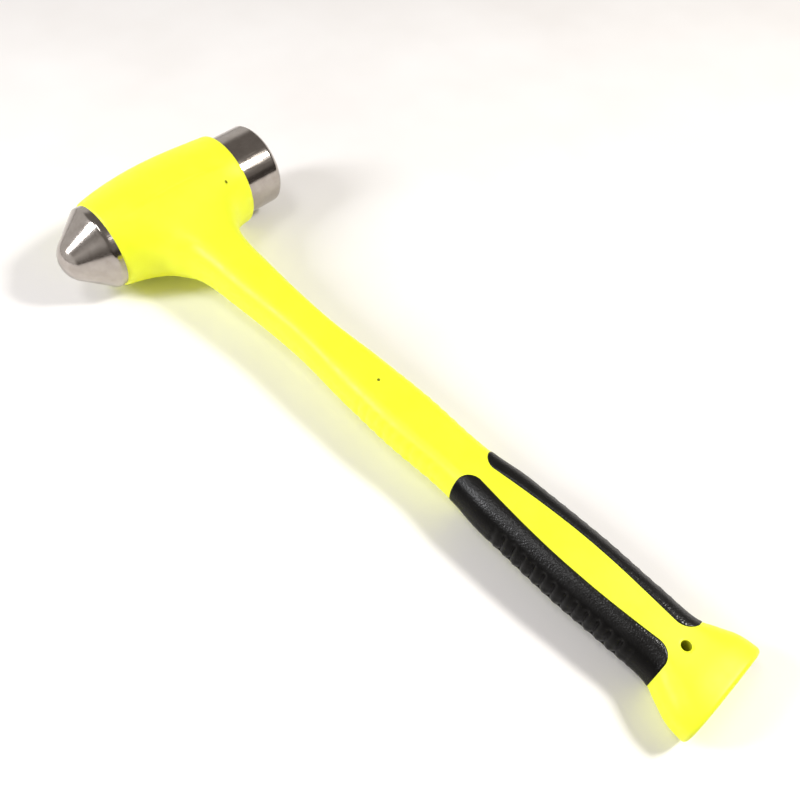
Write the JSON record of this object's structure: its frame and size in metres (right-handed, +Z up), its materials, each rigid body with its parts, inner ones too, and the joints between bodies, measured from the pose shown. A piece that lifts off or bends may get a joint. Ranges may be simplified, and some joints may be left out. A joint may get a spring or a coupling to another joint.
{
  "type": "dead-blow bead breaking hammer",
  "caption": "Two-ended dead-blow hammer with a flat steel face, a blunt tapered steel nose, a moulded hi-viz jacket with soft grip pads and loose shot inside the head.",
  "frame": {"origin": "centre of the bounding box's bottom, as the hammer lies on its side", "axes": "+X along the head towards the flat face, -Y down the handle to the butt, +Z up through the hammer's thickness"},
  "size_m": [0.159, 0.4804, 0.0687],
  "materials": {
    "jacket": "satin hi-viz yellow moulded urethane",
    "grip": "fine pebbled black thermoplastic rubber",
    "polished_steel": "ground and polished steel",
    "plain_steel": "as-drawn steel",
    "shot": "tumbled steel shot",
    "weld": "rippled weld",
    "fasteners": "plain steel"
  },
  "bodies": {
    "hammer": {"jacket": "jacket", "nose_side_grip": "grip", "face_side_grip": "grip", "striking_face": "polished_steel", "breaker_nose": "polished_steel", "shot_canister": "plain_steel", "face_end_plug": "plain_steel", "nose_end_plug": "plain_steel", "face_weld": "weld", "nose_weld": "weld", "rod_socket": "plain_steel", "socket_weld": "weld", "socket_pin": "fasteners", "core_rod": "plain_steel", "anchor_pins": "fasteners", "rod_washer": "fasteners", "rod_nut": "fasteners"},
    "shot": {"steel_shot": "shot"}
  },
  "joints": [
    {"name": "shot_slide", "type": "slide", "parent": "hammer", "child": "shot", "axis": [1, 0, 0], "range_m": [-0.0103, 0.0103]}
  ]
}
